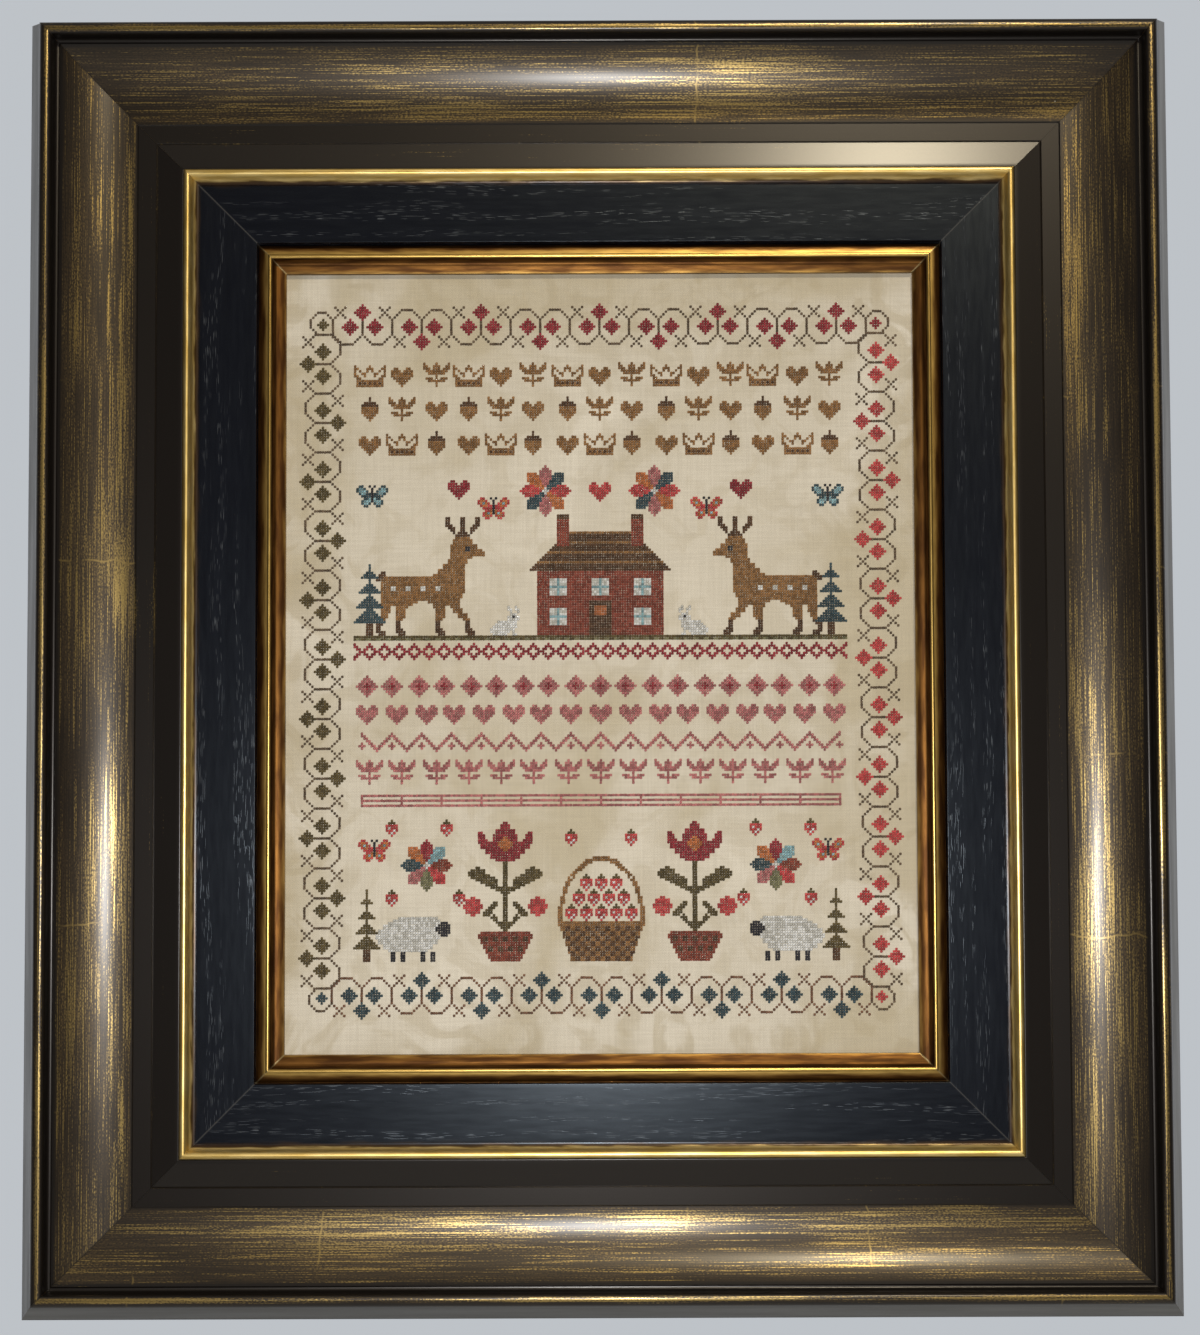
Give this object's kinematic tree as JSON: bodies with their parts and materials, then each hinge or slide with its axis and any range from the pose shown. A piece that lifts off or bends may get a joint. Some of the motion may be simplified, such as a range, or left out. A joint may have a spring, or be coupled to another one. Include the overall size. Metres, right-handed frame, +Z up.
{
  "type": "framed cross stitch sampler",
  "caption": "Cross stitch sampler on stretched linen in a stacked wooden frame: bronze-gold scoop moulding, black inner moulding with a gilt bead, and a gilt slip. Hangs flat on a wall.",
  "frame": {"origin": "middle of the back, in the plane of the wall", "axes": "+Z up, +X to the right as seen from the front, +Y into the wall; the needlework faces -Y"},
  "size_m": [0.592, 0.04, 0.6698],
  "materials": {
    "bronze_leaf": "gold leaf rubbed through a dark brown wash, satin",
    "black_oak": "black stain on open-grained wood, with a gilt bead, satin",
    "gilt_slip": "burnished gold leaf with an umber patina",
    "linen": "plain-woven linen, mottled with tea stain, worked in cotton or silk cross stitch",
    "backing": "plain soft fibreboard"
  },
  "bodies": {
    "root": {"outer_rail_bottom": "bronze_leaf", "outer_rail_left": "bronze_leaf", "outer_rail_top": "bronze_leaf", "outer_rail_right": "bronze_leaf", "black_rail_bottom": "black_oak", "black_rail_left": "black_oak", "black_rail_top": "black_oak", "black_rail_right": "black_oak", "slip_rail_bottom": "gilt_slip", "slip_rail_left": "gilt_slip", "slip_rail_top": "gilt_slip", "slip_rail_right": "gilt_slip", "linen_cloth": "linen", "back_board": "backing"}
  },
  "joints": []
}
